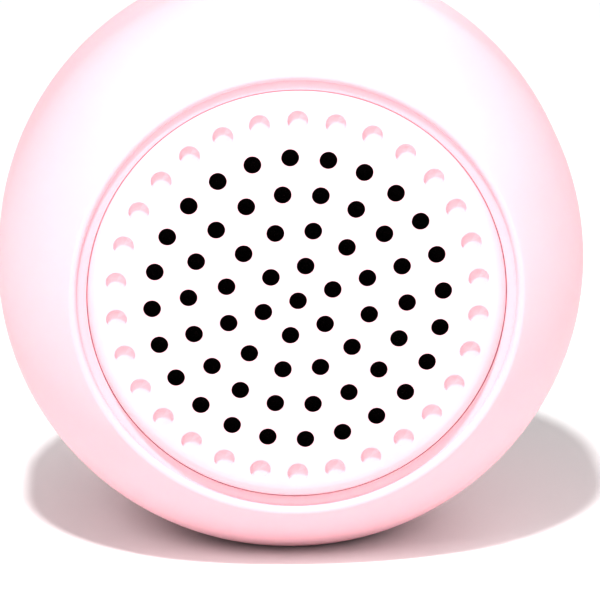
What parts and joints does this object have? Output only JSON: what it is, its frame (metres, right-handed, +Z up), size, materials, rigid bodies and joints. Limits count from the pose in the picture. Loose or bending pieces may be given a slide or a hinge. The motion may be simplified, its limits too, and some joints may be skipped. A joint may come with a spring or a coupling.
{
  "type": "shower speaker",
  "caption": "Ball-shaped waterproof wireless speaker with a perforated front disc, soft sleeve, top keys, charging flap and twist-lock suction cup",
  "frame": {"origin": "on the small flat under the ball, below the middle of its widest band", "axes": "+Z up; -Y to the front, where the perforated disc faces; +X to the speaker's side with the charging port, on the right when seen from the front"},
  "size_m": [0.083, 0.079, 0.0825],
  "materials": {
    "sleeve_pink": "satin soft-touch silicone",
    "disc_pink": "satin moulded plastic",
    "key_pink": "satin silicone",
    "cup_pink": "satin, slightly translucent silicone",
    "hub_white": "satin moulded plastic",
    "frame_white": "fine moulded texture",
    "mesh_black": "fine woven mesh",
    "seal_grey": "matt",
    "surround_black": "satin",
    "basket_black": "matt black powder coat",
    "screw_steel": "zinc plated",
    "motor_steel": "zinc plated",
    "magnet_grey": "nickel-grey sintered magnet",
    "cone_paper": "pressed paper",
    "cap_black": "satin",
    "former_amber": "polyimide film",
    "winding_copper": "enamelled copper wire",
    "spider_cloth": "resin-stiffened woven cloth",
    "fibre_brown": "fibre board",
    "tab_brass": "tinned brass",
    "lead_jacket": "PVC insulation, one red and one black",
    "plug_white": "nylon",
    "pouch_foil": "laminated foil",
    "foam_grey": "closed-cell foam tape",
    "tray_black": "moulded texture",
    "board_green": "solder mask",
    "can_steel": "tinned shield can",
    "chip_black": "epoxy",
    "capacitor_black": "sleeved can",
    "inductor_grey": "ferrite",
    "switch_grey": "satin",
    "led_lens": "clear epoxy",
    "pipe_clear": "polished clear acrylic",
    "mic_metal": "satin can",
    "socket_steel": "nickel plated",
    "pin_steel": "polished"
  },
  "bodies": {
    "casing": {"silicone_sleeve": "sleeve_pink", "grille_disc": "disc_pink", "acoustic_mesh": "mesh_black", "front_frame": "frame_white", "rear_frame": "frame_white", "seam_seal": "seal_grey", "frame_screws": "screw_steel", "driver_gasket": "seal_grey", "driver_basket": "basket_black", "driver_screws": "screw_steel", "cone_surround": "surround_black", "spider": "spider_cloth", "top_plate": "motor_steel", "ring_magnet": "magnet_grey", "pole_plate": "motor_steel", "terminal_strip": "fibre_brown", "solder_tabs": "tab_brass", "speaker_leads": "lead_jacket", "speaker_plug": "plug_white", "battery_cell": "pouch_foil", "battery_pad": "foam_grey", "battery_tray": "tray_black", "battery_leads": "lead_jacket", "battery_plug": "plug_white", "tray_screws": "screw_steel", "main_board": "board_green", "bluetooth_module": "can_steel", "amplifier_chip": "chip_black", "board_capacitors": "capacitor_black", "power_inductor": "inductor_grey", "key_switches": "switch_grey", "status_led": "led_lens", "light_pipe": "pipe_clear", "microphone": "mic_metal", "microphone_boot": "seal_grey", "stem_seals": "seal_grey", "charge_socket": "socket_steel", "socket_gasket": "seal_grey", "flap_pin": "pin_steel"},
    "play": {"play_key": "key_pink"},
    "volume_up": {"volume_up_key": "key_pink"},
    "volume_down": {"volume_down_key": "key_pink"},
    "flap": {"port_flap": "key_pink", "flap_seal": "seal_grey"},
    "cup": {"cup_hub": "hub_white", "hub_seal": "seal_grey", "suction_cup": "cup_pink"},
    "cone": {"speaker_cone": "cone_paper", "dust_cap": "cap_black", "coil_former": "former_amber", "coil_winding": "winding_copper"}
  },
  "joints": [
    {"name": "play_press", "type": "slide", "parent": "casing", "child": "play", "axis": [0, 0, -1], "range_m": [0, 0.0006], "stiffness_N_per_m": 1200},
    {"name": "volume_up_press", "type": "slide", "parent": "casing", "child": "volume_up", "axis": [0, 0, -1], "range_m": [0, 0.0006], "stiffness_N_per_m": 1200},
    {"name": "volume_down_press", "type": "slide", "parent": "casing", "child": "volume_down", "axis": [0, 0, -1], "range_m": [0, 0.0006], "stiffness_N_per_m": 1200},
    {"name": "flap_hinge", "type": "hinge", "parent": "casing", "child": "flap", "pos_m": [0.0363, 0.01862, 0.0403], "axis": [0, 0, 1], "range_deg": [0, 92]},
    {"name": "cup_twist", "type": "hinge", "parent": "casing", "child": "cup", "pos_m": [0, 0.03402, 0.0403], "axis": [0, 1, 0], "range_deg": [0, 60]},
    {"name": "cone_travel", "type": "slide", "parent": "casing", "child": "cone", "axis": [0, -1, 0], "range_m": [-0.0012, 0.0012], "stiffness_N_per_m": 600, "deforming": ["cone_surround", "spider"]}
  ]
}
